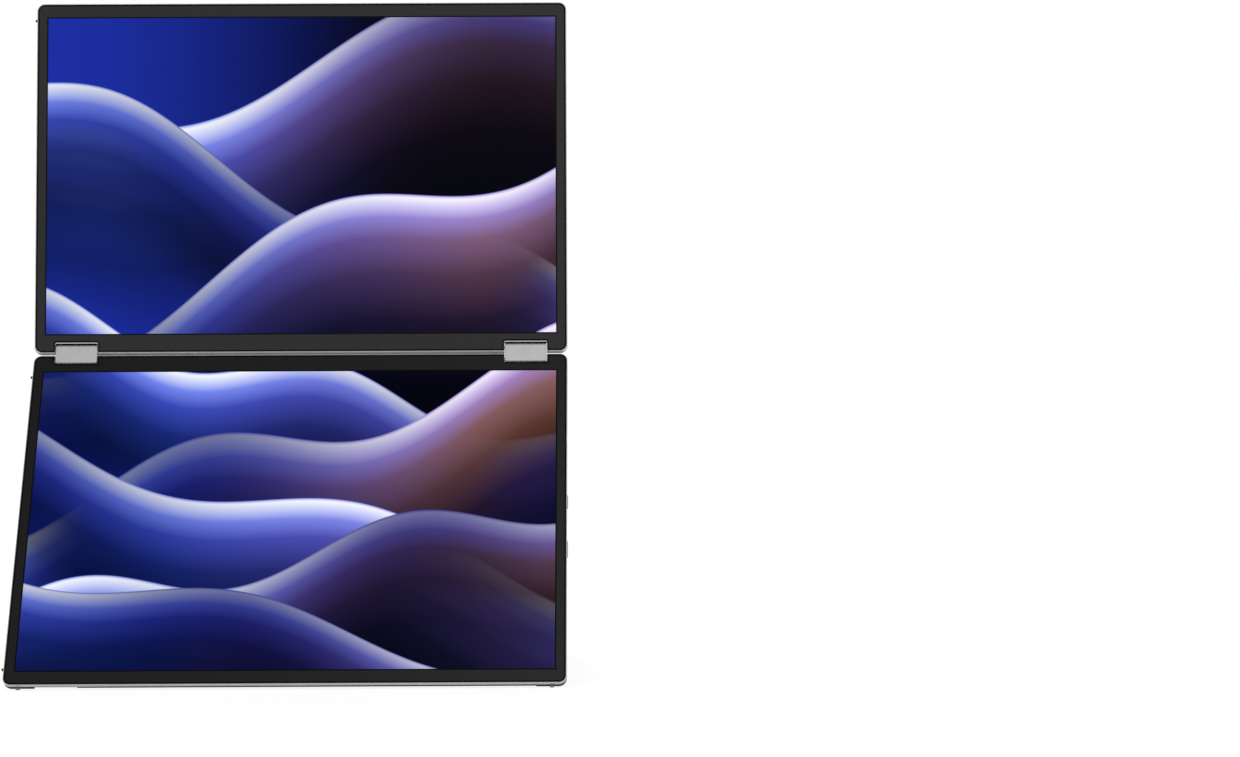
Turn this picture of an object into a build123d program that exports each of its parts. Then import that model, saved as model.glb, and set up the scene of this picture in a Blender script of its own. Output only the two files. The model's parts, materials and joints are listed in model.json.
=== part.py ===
"""Dual portable monitor: two equal screens on a synchronised double hinge, with a kickstand."""
import os
from collections import namedtuple
from math import acos, atan2, cos, hypot, radians, sin

from build123d import *

os.makedirs("parts", exist_ok=True)

# Pose: how far each half leans back from upright, in degrees
LOWER_LEAN = 33.5
UPPER_LEAN = 9.5

# Fits and cuts, in millimetres like every length below
FIT = 0.1            # gap round a piece that is seated
RUN_FIT = 0.05       # radial gap of a shaft in its bearing
PASS_GAP = 0.35      # gap between pieces that move past each other
OVERRUN = 3.0        # how far a cut runs past the face that it opens

# Screen: lit area, black borders to the glass edge, glass and panel
ACTIVE_WIDTH = 301.55
ACTIVE_HEIGHT = 188.47
SIDE_BORDER = 6.3
FAR_BORDER = 8.3
HINGE_BORDER = 10.9
GLASS_THICK = 0.6
GLASS_CORNER_RADIUS = 4.1
GLASS_BEVEL = 0.15
PANEL_THICK = 0.8
PANEL_BORDER = 2.0

# Frame and covers
RIM = 0.4            # metal seen round the glass
HINGE_RIM = 0.2      # the same along the hinge edge
RIM_BEVEL = 0.15
FRAME_DEPTH = 2.5
FRAME_WALL = 3.5
PLATE_THICK = 0.6
LOWER_WALL = 0.8
UPPER_WALL = 1.0
BACK_EDGE_RADIUS = 1.8
LIP_WIDTH = 0.8      # locating lip of a cover inside its frame
LIP_GAP = 0.1        # above the lip, to the plate
BACK_ROOM = 1.0      # behind the boards of the upper half

# Double hinge: EDGE_REACH is the reach of the flat front past the axis
EDGE_REACH = 2.35
EDGE_GAP = 0.3       # between the two round hinge edges
NOSE_BEVEL = 5.0     # slope behind the round edge of the thicker half
HINGE_INSET = 24.775  # middle of a hinge block from the side edge
HINGE_WIDTH = 24.6
NOTCH_RADIUS = 1.0
NOTCH_RIM = 0.6      # metal above the blocks, on the upper half
BLOCK_END = 2.0      # block past each axis
BLOCK_HALF_DEPTH = 2.6
BLOCK_RADIUS = 1.6
BLOCK_BEVEL = 0.3
BLOCK_WALL = 0.6
BLOCK_END_WALL = 0.3
BLOCK_SIDE_WALL = 1.0
GEARS_IN_LINE = 4    # both shafts and two idlers between them
GEAR_TEETH = 10
GEAR_WIDTH = 3.0
GEAR_SIDE_GAP = 0.2
BEARING_THICK = 1.2
IDLER_PIN_RADIUS = 0.45
CLIP_THICK = 1.4
CLIP_COUNT = 4
CLIP_WALL = 0.45
CLIP_SLIT = 0.5
SLEEVE_RADIUS = 1.4
SLEEVE_LENGTH = 11.6
SLEEVE_WALL = 0.4    # of the upper cover, behind a sleeve
BAY_WALL = 1.2
LEAF_THICK = 0.6
LEAF_LENGTH = 15.0
LEAF_SCREW_NEAR = 7.2
LEAF_SCREW_INSET = 2.8

# Tooth shape as shares of the pitch radius and of the pitch angle
ADDENDUM_SHARE = 0.155
DEDENDUM_SHARE = 0.205
TOOTH_TIP_SHARE = 0.08
TOOTH_ROOT_SHARE = 0.43
HALF_PITCH_SHARE = 0.5
SHAFT_SHARE = 0.78

# Small screws for boards and brackets
SCREW_RADIUS = 0.7
SCREW_BITE = 0.7
SCREW_HEAD_RADIUS = 1.3
SCREW_HEAD_HEIGHT = 0.45

# Kickstand
KICK_SIDE_INSET = 17.475
KICK_PIVOT_HEIGHT = 118.0   # pivot above the lower edge, along the half
KICK_INSET = 0.8            # sole inside the lower edge when folded
KICK_THICK = 1.6
KICK_CORNER_RADIUS = 5.0
KICK_HINGE_INSET = 45.0
KICK_HINGE_WIDTH = 20.0
KICK_KNUCKLE = 8.0          # middle knuckle, on the plate
KICK_PIN_RADIUS = 0.8
KICK_HEAD_GAP = 0.4
KICK_LEAF_THICK = 0.5
KICK_LEAF_LENGTH = 14.0
KICK_LEAF_SCREW_X = 6.0
SOLE_SIDE_INSET = 12.0
SOLE_TONGUE = 2.4
SOLE_TONGUE_THICK = 0.8
SOLE_FLAT = 0.1
POCKET_BEVEL = 0.8          # along the pocket's open edge
SCOOP_WIDTH = 24.0
SCOOP_RADIUS = 5.0
SCOOP_DEPTH = 3.7

# Feet
FOOT_INSET = 8.275
FOOT_DEPTH = 4.2
FOOT_RADIUS = 1.15
FOOT_PROUD = 1.2
FOOT_SOCKET = 2.0
SIDE_FOOT_RADIUS = 0.8
SIDE_FOOT_PROUD = 1.3
SIDE_FOOT_DEPTH = 1.6
SIDE_FOOT_SOCKET = 1.5
SIDE_FOOT_BEVEL = 0.4
SIDE_FOOT_NEAR = 11.3
SIDE_FOOT_INSET = 9.9

# Boards and flat cables
BOARD_NEAR = 42.0
BOARD_GAP = 0.4           # to the lip of the cover
BOARD_OVERLAP = 20.0      # past the right end of the driver board
BOARD_DRIVER_GAP = 7.0
BOARD_SCREW_INSET = 5.0
CHIP_HEIGHT = 0.5
CHIP_SIZE = 13.0
CHIP_SMALL_SIZE = 8.0
SHIELD_LENGTH = 34.0
SHIELD_WIDTH = 22.0
DRIVER_HALF_WIDTH = 80.0
DRIVER_INSET = 17.9       # from the far edge
DRIVER_DEPTH = 16.0
DRIVER_CHIP_COUNT = 3
DRIVER_CHIP_LENGTH = 16.0
DRIVER_CHIP_WIDTH = 5.0
FLEX_THICK = 0.2
FLEX_WIDTH = 12.0
FLEX_LAP = 6.0
FLEX_HEAD_LENGTH = 3.0
FLEX_HEAD_HEIGHT = 0.5
HINGE_FLEX_GAP = 5.0      # beside the hinge brackets
HINGE_FLEX_WIDTH = 8.0

# Sockets and buttons on the right edge
USB_INSET = 7.6           # near socket from the near edge of the main board
USB_GAP = 17.5            # far socket from the menu button
USB_WIDTH = 8.94
USB_HEIGHT = 3.26
USB_DEPTH = 7.35
USB_TONGUE_WIDTH = 6.65
USB_TONGUE_HEIGHT = 0.7
USB_TONGUE_LENGTH = 4.5
HDMI_INSET = 95.3         # from the far edge
HDMI_WIDTH = 11.2
HDMI_HEIGHT = 3.2
HDMI_SLOPE = 0.9
HDMI_DEPTH = 7.5
HDMI_TONGUE_WIDTH = 8.0
HDMI_TONGUE_HEIGHT = 0.6
HDMI_TONGUE_LENGTH = 4.8
SHELL_WALL = 0.3
PORT_INSET = 0.4
PORT_FLOOR = 0.8
PORT_WALL = 1.2
PORT_BAY_MARGIN = 8.5     # past the middle of the end sockets
PORT_BACK_GAP = 0.14      # behind the sockets
POWER_GAP = 8.2           # from the middle socket
MENU_GAP = 1.4
POWER_LENGTH = 8.4
MENU_LENGTH = 10.0
BUTTON_HEIGHT = 2.2
BUTTON_PROUD = 0.6
BUTTON_BEVEL = 0.3
BUTTON_FIT = 0.2
BUTTON_TRAVEL = 0.4
BUTTON_FLANGE = 0.5
BUTTON_FLANGE_THICK = 0.6
PLUNGER_RADIUS = 0.6
PLUNGER_LENGTH = 0.8
SWITCH_WIDTH = 4.0
SWITCH_LENGTH = 6.7

# Tripod bush
TRIPOD_RADIUS = 3.175
TRIPOD_DEPTH = 4.0
TRIPOD_BUSH_RADIUS = 4.7
TRIPOD_BUSH_FLOOR = 0.4
TRIPOD_BOSS_WALL = 1.6
TRIPOD_RISE = 25.0          # above the kickstand's pivot

# Depths behind the glass
PANEL_FLOOR = GLASS_THICK + PANEL_THICK + FIT
PLATE_BACK = PANEL_FLOOR + PLATE_THICK
SEAT_BACK = PLATE_BACK + LEAF_THICK
LIP_HEIGHT = FRAME_DEPTH - PLATE_BACK - LIP_GAP
UPPER_FLOOR = SEAT_BACK + BACK_ROOM
UPPER_THICK = UPPER_FLOOR + UPPER_WALL
AXIS_DEPTH = UPPER_THICK - SLEEVE_RADIUS - FIT - SLEEVE_WALL
PORT_DEPTH = SEAT_BACK + USB_HEIGHT / 2
LOWER_THICK = PORT_DEPTH + USB_HEIGHT / 2 + PORT_BACK_GAP + LOWER_WALL
POCKET_DEPTH = KICK_THICK + FIT
KICK_AXIS_DEPTH = LOWER_THICK - KICK_THICK
POCKET_FLOOR = LOWER_THICK - POCKET_DEPTH
LOWER_FLOOR = POCKET_FLOOR - LOWER_WALL

# Places along a half, from the hinge axis to the far edge
BLOCK_SWEEP = hypot(BLOCK_END - BLOCK_RADIUS, BLOCK_HALF_DEPTH - BLOCK_RADIUS) + BLOCK_RADIUS
NOTCH_REACH = BLOCK_SWEEP + PASS_GAP
CAVITY_NEAR = NOTCH_REACH + BAY_WALL
ACTIVE_NEAR = HINGE_BORDER - EDGE_REACH + HINGE_RIM
ACTIVE_FAR = ACTIVE_NEAR + ACTIVE_HEIGHT
FAR_EDGE = ACTIVE_FAR + FAR_BORDER + RIM
SIDE_FOOT_FAR = FAR_EDGE - SIDE_FOOT_INSET
KICK_PLACE = FAR_EDGE - KICK_PIVOT_HEIGHT
TRIPOD_PLACE = KICK_PLACE - TRIPOD_RISE
DRIVER_FAR = FAR_EDGE - DRIVER_INSET
DRIVER_NEAR = DRIVER_FAR - DRIVER_DEPTH
BOARD_FAR = DRIVER_NEAR - BOARD_DRIVER_GAP
HDMI_PLACE = FAR_EDGE - HDMI_INSET
POWER_PLACE = HDMI_PLACE - HDMI_WIDTH / 2 - POWER_GAP - POWER_LENGTH / 2
MENU_PLACE = HDMI_PLACE + HDMI_WIDTH / 2 + MENU_GAP + MENU_LENGTH / 2
USB_PLACES = (BOARD_NEAR + USB_INSET, MENU_PLACE + MENU_LENGTH / 2 + USB_GAP + USB_WIDTH / 2)

# Places across a half, from its middle
HALF_WIDTH = ACTIVE_WIDTH / 2 + SIDE_BORDER + RIM
HINGE_X = HALF_WIDTH - HINGE_INSET
FOOT_X = HALF_WIDTH - FOOT_INSET
KICK_WIDTH = 2 * (HALF_WIDTH - KICK_SIDE_INSET)
KICK_HINGE_X = KICK_WIDTH / 2 - KICK_HINGE_INSET
BOARD_LEFT = DRIVER_HALF_WIDTH - BOARD_OVERLAP
BOARD_RIGHT = HALF_WIDTH - FRAME_WALL - LIP_WIDTH - BOARD_GAP
FLEX_X = DRIVER_HALF_WIDTH - FLEX_WIDTH / 2

# Hinge sizes that follow from the above
EDGE_RADIUS = hypot(EDGE_REACH, AXIS_DEPTH)
AXIS_GAP = 2 * EDGE_RADIUS + EDGE_GAP
GEAR_RADIUS = AXIS_GAP / (2 * (GEARS_IN_LINE - 1))
SHAFT_RADIUS = SHAFT_SHARE * GEAR_RADIUS
GEAR_PITCH = 360 / GEAR_TEETH
BLOCK_INNER = HINGE_X - HINGE_WIDTH / 2
BLOCK_OUTER = HINGE_X + HINGE_WIDTH / 2
BAY_OUTER = BLOCK_INNER - PASS_GAP - BAY_WALL
BAY_INNER = BAY_OUTER - SLEEVE_LENGTH - 2 * FIT
GEAR_OUTER = BLOCK_OUTER - BLOCK_SIDE_WALL - BEARING_THICK - GEAR_SIDE_GAP
GEAR_INNER = GEAR_OUTER - GEAR_WIDTH
HINGE_FLEX_X = BAY_INNER - HINGE_FLEX_GAP - HINGE_FLEX_WIDTH / 2

# Where the axes stand in the room: Z up from the table, Y away from the viewer
LINK_LEAN = (LOWER_LEAN + UPPER_LEAN) / 2
LOWER_SIN, LOWER_COS = sin(radians(LOWER_LEAN)), cos(radians(LOWER_LEAN))
UPPER_SIN, UPPER_COS = sin(radians(UPPER_LEAN)), cos(radians(UPPER_LEAN))
LINK_SIN, LINK_COS = sin(radians(LINK_LEAN)), cos(radians(LINK_LEAN))
FRONT_REACH = FAR_EDGE * LOWER_SIN + AXIS_DEPTH * LOWER_COS
BACK_REACH = AXIS_GAP * LINK_SIN + FAR_EDGE * UPPER_SIN + (UPPER_THICK - AXIS_DEPTH) * UPPER_COS
LOWER_AXIS_Y = (FRONT_REACH - BACK_REACH) / 2
LOWER_AXIS_Z = (FAR_EDGE + FOOT_PROUD) * LOWER_COS + (FOOT_DEPTH - AXIS_DEPTH) * LOWER_SIN
UPPER_AXIS_Y = LOWER_AXIS_Y + AXIS_GAP * LINK_SIN
UPPER_AXIS_Z = LOWER_AXIS_Z + AXIS_GAP * LINK_COS
KICK_AXIS_Y = LOWER_AXIS_Y - KICK_PLACE * LOWER_SIN + (KICK_AXIS_DEPTH - AXIS_DEPTH) * LOWER_COS
KICK_AXIS_Z = LOWER_AXIS_Z - KICK_PLACE * LOWER_COS - (KICK_AXIS_DEPTH - AXIS_DEPTH) * LOWER_SIN

# The kickstand opens until its round sole meets the table
KICK_LENGTH = KICK_PIVOT_HEIGHT - KICK_INSET
SOLE_RADIUS = KICK_THICK / 2
SOLE_PLACE = KICK_LENGTH - SOLE_RADIUS
SOLE_ARM = hypot(SOLE_PLACE, SOLE_RADIUS)
KICK_LEAN = acos((KICK_AXIS_Z - SOLE_RADIUS + SOLE_FLAT) / SOLE_ARM) - atan2(SOLE_RADIUS, SOLE_PLACE)

X_AXIS = Vector(1, 0, 0)


def leaning_plane(y, z, lean, rise):
    """Plane through a hinge axis: x along the axis, y up or down the half, z to the viewer."""
    normal = Vector(0, -cos(radians(lean)), sin(radians(lean)))
    along = Vector(0, sin(radians(lean)), cos(radians(lean))) * rise
    return Plane((0, y, z), x_dir=along.cross(normal), z_dir=normal)


# left is the sign of x at the viewer's left
Half = namedtuple("Half", "name front thick floor reach notch_rim left")
LOWER = Half("lower", leaning_plane(LOWER_AXIS_Y, LOWER_AXIS_Z, LOWER_LEAN, -1).offset(AXIS_DEPTH),
             LOWER_THICK, LOWER_FLOOR, EDGE_REACH, 0, 1)
UPPER = Half("upper", leaning_plane(UPPER_AXIS_Y, UPPER_AXIS_Z, UPPER_LEAN, 1).offset(AXIS_DEPTH),
             UPPER_THICK, UPPER_FLOOR, EDGE_RADIUS, NOTCH_RIM, -1)
LINK = leaning_plane((LOWER_AXIS_Y + UPPER_AXIS_Y) / 2, (LOWER_AXIS_Z + UPPER_AXIS_Z) / 2, LINK_LEAN, 1)
KICK = Plane((0, KICK_AXIS_Y, KICK_AXIS_Z), x_dir=(-1, 0, 0),
             z_dir=(0, -cos(KICK_LEAN), -sin(KICK_LEAN)))


def side_plane(front, x=0):
    """Plane square to the hinge axis: x away from the hinge, y to the viewer."""
    return Plane(front.origin + front.x_dir * x, x_dir=front.y_dir, z_dir=front.x_dir)


def back_plane(half, depth):
    """Plane inside a half that faces backwards: x to the viewer's right on the lower half."""
    return Plane(half.front.offset(-depth).origin, x_dir=-half.front.x_dir, z_dir=-half.front.z_dir)


def left_edge(half, inset=0):
    """Plane along the left edge of a half, square to the hinge axis."""
    return side_plane(half.front, half.left * (HALF_WIDTH - inset))


def right_edge(inset):
    """Plane along the right edge of the lower half, facing into it."""
    return side_plane(LOWER.front, inset - HALF_WIDTH)


def depth_axis(half):
    return Axis(half.front.origin, half.front.z_dir)


def strip(near, far, half_width, radius):
    """Rounded rectangle between two places along a half."""
    with Locations((0, (near + far) / 2)):
        RectangleRounded(2 * half_width, far - near, radius)


def block(x_range, y_range, mode=Mode.ADD):
    """Rectangle between two places in x and two in y."""
    with Locations((sum(x_range) / 2, sum(y_range) / 2)):
        Rectangle(abs(x_range[1] - x_range[0]), abs(y_range[1] - y_range[0]), mode=mode)


def notches(gap=0, rim=0):
    """Cuts the room for both hinge blocks out of an outline, with a rim left at the end of each."""
    near = -EDGE_RADIUS - OVERRUN
    far = NOTCH_REACH + gap + rim
    with Locations((-HINGE_X, (near + far) / 2), (HINGE_X, (near + far) / 2)):
        width = HINGE_WIDTH + 2 * (PASS_GAP + gap)
        RectangleRounded(width, far - near, NOTCH_RADIUS, mode=Mode.SUBTRACT)


def spine(half):
    """The hinge edge between the two blocks, which reaches to the round nose."""
    block((-HINGE_X, HINGE_X), (-EDGE_RADIUS, half.reach))


def glass_outline(half, gap):
    strip(gap + HINGE_RIM - EDGE_REACH, FAR_EDGE - RIM - gap, HALF_WIDTH - RIM - gap,
          GLASS_CORNER_RADIUS - gap)
    notches(gap, half.notch_rim)


def panel_outline(gap):
    half_width = ACTIVE_WIDTH / 2 + PANEL_BORDER + gap
    block((-half_width, half_width), (ACTIVE_NEAR - PANEL_BORDER - gap, ACTIVE_FAR + PANEL_BORDER + gap))


def cavity_outline(inset, mode=Mode.ADD):
    """Room for boards behind the plate, inside the walls."""
    half_width = HALF_WIDTH - FRAME_WALL - inset
    block((-half_width, half_width), (CAVITY_NEAR + inset, FAR_EDGE - FRAME_WALL - inset), mode)


def hinge_profile(half):
    """Side view of a half: a flat slab with a round nose about the hinge axis."""
    with BuildLine() as slab:
        Polyline((0, 0), (FAR_EDGE, 0), (FAR_EDGE, -half.thick), (NOSE_BEVEL, -half.thick),
                 (0, -AXIS_DEPTH - EDGE_RADIUS), close=True)
    make_face(slab.edges())
    with Locations((0, -AXIS_DEPTH)):
        Circle(EDGE_RADIUS)


def trim_to_profile(half):
    with BuildSketch(side_plane(half.front)) as profile:
        hinge_profile(half)
    extrude(profile.sketch, amount=HALF_WIDTH + OVERRUN, both=True, mode=Mode.INTERSECT)


def drill(plane, places, radius, depth):
    """Round holes from a plane, against the way that it faces."""
    with BuildSketch(plane) as holes:
        with Locations(*places):
            Circle(radius)
    extrude(holes.sketch, amount=-depth, mode=Mode.SUBTRACT)


def cut_hinge_bays(half):
    """Room for the shaft, its sleeve and its leaf, beside each notch."""
    for side in (-1, 1):
        inner = side_plane(half.front, side * BAY_INNER)
        with BuildSketch(inner) as bay:
            with Locations((0, -AXIS_DEPTH)):
                Circle(SLEEVE_RADIUS + FIT)
            block((0, CAVITY_NEAR + LIP_WIDTH + 2 * FIT), (-PLATE_BACK, -half.floor))
        extrude(bay.sketch, amount=side * (BAY_OUTER - BAY_INNER), mode=Mode.SUBTRACT)
        with BuildSketch(inner) as bore:
            with Locations((0, -AXIS_DEPTH)):
                Circle(SHAFT_RADIUS + FIT)
        extrude(bore.sketch, amount=side * (BLOCK_INNER - BAY_INNER), mode=Mode.SUBTRACT)


LEAF_X = (BAY_INNER + BAY_OUTER) / 2
BRACKET_SCREWS = [(x, y) for x in (-LEAF_X, LEAF_X)
                  for y in (LEAF_SCREW_NEAR, LEAF_LENGTH - LEAF_SCREW_INSET)]
DRIVER_MIDDLE = (DRIVER_NEAR + DRIVER_FAR) / 2
DRIVER_SCREWS = [(x, DRIVER_MIDDLE) for x in (BOARD_SCREW_INSET - DRIVER_HALF_WIDTH,
                                              DRIVER_HALF_WIDTH - BOARD_SCREW_INSET)]
BOARD_SCREWS = [(x, y) for x in (BOARD_LEFT + BOARD_SCREW_INSET, BOARD_RIGHT - 2 * BOARD_SCREW_INSET)
                for y in (BOARD_NEAR + BOARD_SCREW_INSET, BOARD_FAR - BOARD_SCREW_INSET)]
KICK_HINGES = (-KICK_HINGE_X, KICK_HINGE_X)
FIXED_LEAF_Y = KICK_PLACE - KICK_LEAF_LENGTH / 2 - KICK_THICK
FIXED_LEAF_SCREWS = [(x + dx, FIXED_LEAF_Y) for x in KICK_HINGES
                     for dx in (-KICK_LEAF_SCREW_X, KICK_LEAF_SCREW_X)]
MOVING_LEAF_Y = KICK_THICK + KICK_LEAF_LENGTH / 2
MOVING_LEAF_RIVETS = [(x + dx, MOVING_LEAF_Y) for x in KICK_HINGES
                      for dx in (-KICK_LEAF_SCREW_X, KICK_LEAF_SCREW_X)]


def export(part, name):
    part.label = name
    export_step(part, f"parts/{name}.step")


def make_frame(half, screws, side_feet):
    """Metal frame: rim round the glass, tray for the panel, round hinge edge."""
    with BuildPart() as frame:
        with BuildSketch(half.front):
            strip(-half.reach, FAR_EDGE, HALF_WIDTH, GLASS_CORNER_RADIUS + RIM)
            spine(half)
            notches()
        extrude(amount=-FRAME_DEPTH)
        chamfer(frame.faces().sort_by(depth_axis(half))[-1].edges(), RIM_BEVEL)
        trim_to_profile(half)
        with BuildSketch(half.front):
            glass_outline(half, 0)
        extrude(amount=-GLASS_THICK, mode=Mode.SUBTRACT)
        with BuildSketch(half.front):
            panel_outline(FIT)
        extrude(amount=-PANEL_FLOOR, mode=Mode.SUBTRACT)
        with BuildSketch(half.front.offset(-FRAME_DEPTH)):
            cavity_outline(0)
        extrude(amount=FRAME_DEPTH - PLATE_BACK, mode=Mode.SUBTRACT)
        cut_hinge_bays(half)
        drill(back_plane(half, PLATE_BACK), screws, SCREW_RADIUS + RUN_FIT, SCREW_BITE)
        drill(left_edge(half), [(y, -SIDE_FOOT_DEPTH) for y in side_feet],
              SIDE_FOOT_RADIUS + RUN_FIT, half.left * SIDE_FOOT_SOCKET)
    export(frame.part, f"{half.name}_frame")


def make_glass(half):
    with BuildPart() as glass:
        with BuildSketch(half.front):
            glass_outline(half, FIT)
        extrude(amount=-GLASS_THICK)
        chamfer(glass.faces().sort_by(depth_axis(half))[-1].edges(), GLASS_BEVEL)
    export(glass.part, f"{half.name}_cover_glass")


def make_panel(half):
    with BuildPart() as panel:
        with BuildSketch(half.front.offset(-GLASS_THICK)):
            panel_outline(0)
        extrude(amount=-PANEL_THICK)
    export(panel.part, f"{half.name}_screen_panel")


def make_cover_shell(half):
    """Back cover of a half before its own cut-outs: rounded tray with a locating lip."""
    face = half.front.offset(-FRAME_DEPTH)
    with BuildPart() as cover:
        with BuildSketch(face):
            strip(-half.reach, FAR_EDGE, HALF_WIDTH, GLASS_CORNER_RADIUS + RIM)
        extrude(amount=FRAME_DEPTH - half.thick)
        fillet(cover.faces().sort_by(depth_axis(half))[0].edges(), BACK_EDGE_RADIUS)
        with BuildSketch(face):
            spine(half)
        extrude(amount=FRAME_DEPTH - half.thick)
        trim_to_profile(half)
        with BuildSketch(face):
            block((-HALF_WIDTH, HALF_WIDTH), (-EDGE_RADIUS, FAR_EDGE))
            notches()
        extrude(amount=FRAME_DEPTH - half.thick, mode=Mode.INTERSECT)
        with BuildSketch(face):
            cavity_outline(LIP_WIDTH + FIT)
        extrude(amount=FRAME_DEPTH - half.floor, mode=Mode.SUBTRACT)
        with BuildSketch(face):
            cavity_outline(FIT)
            cavity_outline(LIP_WIDTH + FIT, Mode.SUBTRACT)
        extrude(amount=LIP_HEIGHT)
        cut_hinge_bays(half)
    return cover.part


def make_screws(name, seat, places, depth):
    """Screws on a seat: heads stand on it, shanks go through it."""
    with BuildPart() as screws:
        with BuildSketch(seat):
            with Locations(*places):
                Circle(SCREW_HEAD_RADIUS)
        extrude(amount=SCREW_HEAD_HEIGHT)
        with BuildSketch(seat):
            with Locations(*places):
                Circle(SCREW_RADIUS)
        extrude(amount=-depth)
    export(screws.part, name)


def make_brackets(half):
    """Sleeve and leaf that carry each hinge shaft in its half."""
    with BuildPart() as brackets:
        with BuildSketch(side_plane(half.front, BAY_INNER + FIT)):
            block((0, LEAF_LENGTH), (-PLATE_BACK, -SEAT_BACK))
            with Locations((0, -AXIS_DEPTH)):
                Circle(SLEEVE_RADIUS)
                Circle(SHAFT_RADIUS + RUN_FIT, mode=Mode.SUBTRACT)
        extrude(amount=SLEEVE_LENGTH)
        mirror(about=Plane.YZ)
        drill(back_plane(half, SEAT_BACK), BRACKET_SCREWS, SCREW_RADIUS + RUN_FIT, LEAF_THICK)
    export(brackets.part, f"{half.name}_hinge_brackets")


def gear_outline(phase):
    """Spur gear with straight flanks; a phase of half a pitch puts a gap where a tooth was."""
    root = GEAR_RADIUS * (1 - DEDENDUM_SHARE)
    tip = GEAR_RADIUS * (1 + ADDENDUM_SHARE)
    corners = ((root, -TOOTH_ROOT_SHARE), (tip, -TOOTH_TIP_SHARE), (tip, TOOTH_TIP_SHARE),
               (root, TOOTH_ROOT_SHARE))
    points = []
    for tooth in range(GEAR_TEETH):
        for radius, share in corners:
            angle = radians(GEAR_PITCH * (tooth + share + phase))
            points.append((radius * cos(angle), radius * sin(angle)))
    with BuildLine() as teeth:
        Polyline(*points, close=True)
    make_face(teeth.edges())


def link_plane(place, x):
    """Plane square to the hinge axes, on the line from the lower to the upper axis."""
    middle = LINK.origin + LINK.y_dir * place + X_AXIS * x
    return Plane(middle, x_dir=LINK.y_dir, z_dir=X_AXIS)


def make_shafts(half, place, phase):
    """Hinge shafts: round bar from the bracket into the block, toothed near its outer end."""
    length = BLOCK_OUTER - BLOCK_SIDE_WALL - BAY_INNER - FIT
    with BuildPart() as shafts:
        with BuildSketch(link_plane(place, BAY_INNER + FIT)):
            Circle(SHAFT_RADIUS)
        extrude(amount=length)
        with BuildSketch(link_plane(place, GEAR_INNER)):
            gear_outline(phase)
        extrude(amount=GEAR_WIDTH)
        mirror(about=Plane.YZ)
    export(shafts.part, f"{half.name}_hinge_shafts")


def make_idlers(name, place, phase):
    """Idler gears with a pin at each side that runs in the bearing plates."""
    pin = BEARING_THICK + GEAR_SIDE_GAP
    with BuildPart() as idlers:
        with BuildSketch(link_plane(place, GEAR_INNER)):
            gear_outline(phase)
        extrude(amount=GEAR_WIDTH)
        with BuildSketch(link_plane(place, GEAR_INNER - pin)):
            Circle(IDLER_PIN_RADIUS)
        extrude(amount=GEAR_WIDTH + 2 * pin)
        mirror(about=Plane.YZ)
    export(idlers.part, name)


def make_driver_board(half):
    """Panel driver board: strip with a row of chips."""
    face = back_plane(half, PLATE_BACK)
    with BuildPart() as board:
        with BuildSketch(face):
            block((-DRIVER_HALF_WIDTH, DRIVER_HALF_WIDTH), (DRIVER_NEAR, DRIVER_FAR))
        extrude(amount=LEAF_THICK)
        with BuildSketch(face.offset(LEAF_THICK)):
            with Locations((0, DRIVER_MIDDLE)):
                with GridLocations(2 * DRIVER_CHIP_LENGTH, DRIVER_CHIP_WIDTH, DRIVER_CHIP_COUNT, 1):
                    Rectangle(DRIVER_CHIP_LENGTH, DRIVER_CHIP_WIDTH)
        extrude(amount=CHIP_HEIGHT)
        drill(face.offset(LEAF_THICK), DRIVER_SCREWS, SCREW_RADIUS + RUN_FIT, LEAF_THICK)
    export(board.part, f"{half.name}_driver_board")


def make_flex(name, half, x, width, near, far, heads):
    """Flat cable behind the boards, with a connector head on each of the named ends."""
    face = back_plane(half, SEAT_BACK)
    with BuildPart() as flex:
        with BuildSketch(face):
            block((x - width / 2, x + width / 2), (near, far))
        extrude(amount=FLEX_THICK)
        with BuildSketch(face):
            for start in heads:
                block((x - width / 2, x + width / 2), (start, start + FLEX_HEAD_LENGTH))
        extrude(amount=FLEX_HEAD_HEIGHT)
    export(flex.part, name)


def make_side_feet(name, half, places):
    """Small rubber feet on the left edge, for standing the set like a book."""
    with BuildPart() as feet:
        with BuildSketch(left_edge(half, SIDE_FOOT_SOCKET)):
            with Locations(*[(y, -SIDE_FOOT_DEPTH) for y in places]):
                Circle(SIDE_FOOT_RADIUS)
        extrude(amount=half.left * (SIDE_FOOT_SOCKET + SIDE_FOOT_PROUD))
        chamfer(feet.edges().group_by(Axis.X)[0], SIDE_FOOT_BEVEL)
    export(feet.part, name)


# Both halves: frames, glass, panels, brackets, shafts, driver boards and their screws
for half, place, phase, screws, feet in (
        (LOWER, -AXIS_GAP / 2, 0, BRACKET_SCREWS + DRIVER_SCREWS + BOARD_SCREWS,
         (SIDE_FOOT_NEAR, SIDE_FOOT_FAR)),
        (UPPER, AXIS_GAP / 2, HALF_PITCH_SHARE, BRACKET_SCREWS + DRIVER_SCREWS, (SIDE_FOOT_FAR,))):
    make_frame(half, screws, feet)
    make_glass(half)
    make_panel(half)
    make_brackets(half)
    make_shafts(half, place, phase)
    make_driver_board(half)
    seat = back_plane(half, SEAT_BACK)
    make_screws(f"{half.name}_bracket_screws", seat, BRACKET_SCREWS, LEAF_THICK + SCREW_BITE)
    board_screws = [place for place in screws if place not in BRACKET_SCREWS]
    make_screws(f"{half.name}_board_screws", seat, board_screws, LEAF_THICK + SCREW_BITE)
    make_side_feet(f"{half.name}_side_feet", half, feet)

export(make_cover_shell(UPPER), "upper_back_cover")

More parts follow.
